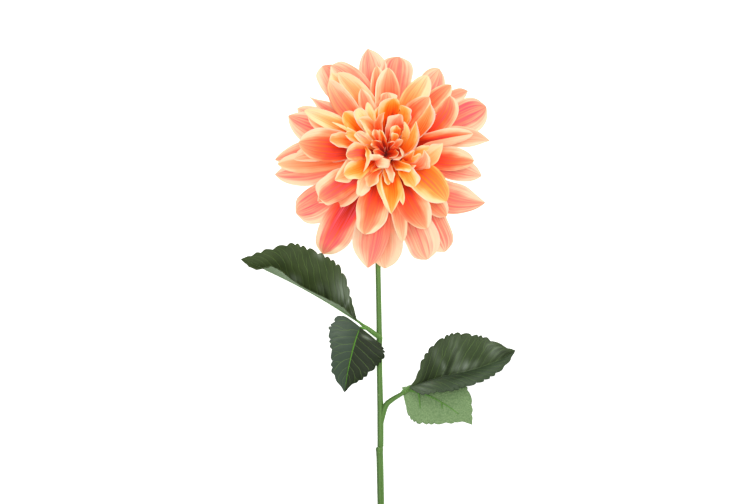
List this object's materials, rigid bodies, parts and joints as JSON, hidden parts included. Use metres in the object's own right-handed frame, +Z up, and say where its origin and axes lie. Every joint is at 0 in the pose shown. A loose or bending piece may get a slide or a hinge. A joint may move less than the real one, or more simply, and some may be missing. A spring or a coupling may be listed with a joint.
{
  "type": "dahlia flower",
  "caption": "Artificial dahlia bloom in coral, pink and cream on a cut stem with serrated leaves, lying on its back.",
  "frame": {"origin": "Bottom centre of the bounding box, on the surface that the flower lies on.", "axes": "+Y runs from the cut end of the stem to the bloom. +Z is up from the surface, the way the bloom faces. +X is to the right, seen from above."},
  "size_m": [0.1924, 0.368, 0.0579],
  "materials": {
    "petals": "printed satin fabric, coral and orange with cream rims and pink streaks",
    "leaves": "coated fabric, dark green above, pale green below",
    "stem": "moulded green plastic over wire"
  },
  "bodies": {
    "root": {"bloom": "petals", "calyx": "stem", "stem_upper": "stem", "stem_lower": "stem", "leaf_upper_left": "leaves", "leaf_middle_left": "leaves", "leaf_upper_right": "leaves", "leaf_lower_right": "leaves"}
  },
  "joints": []
}
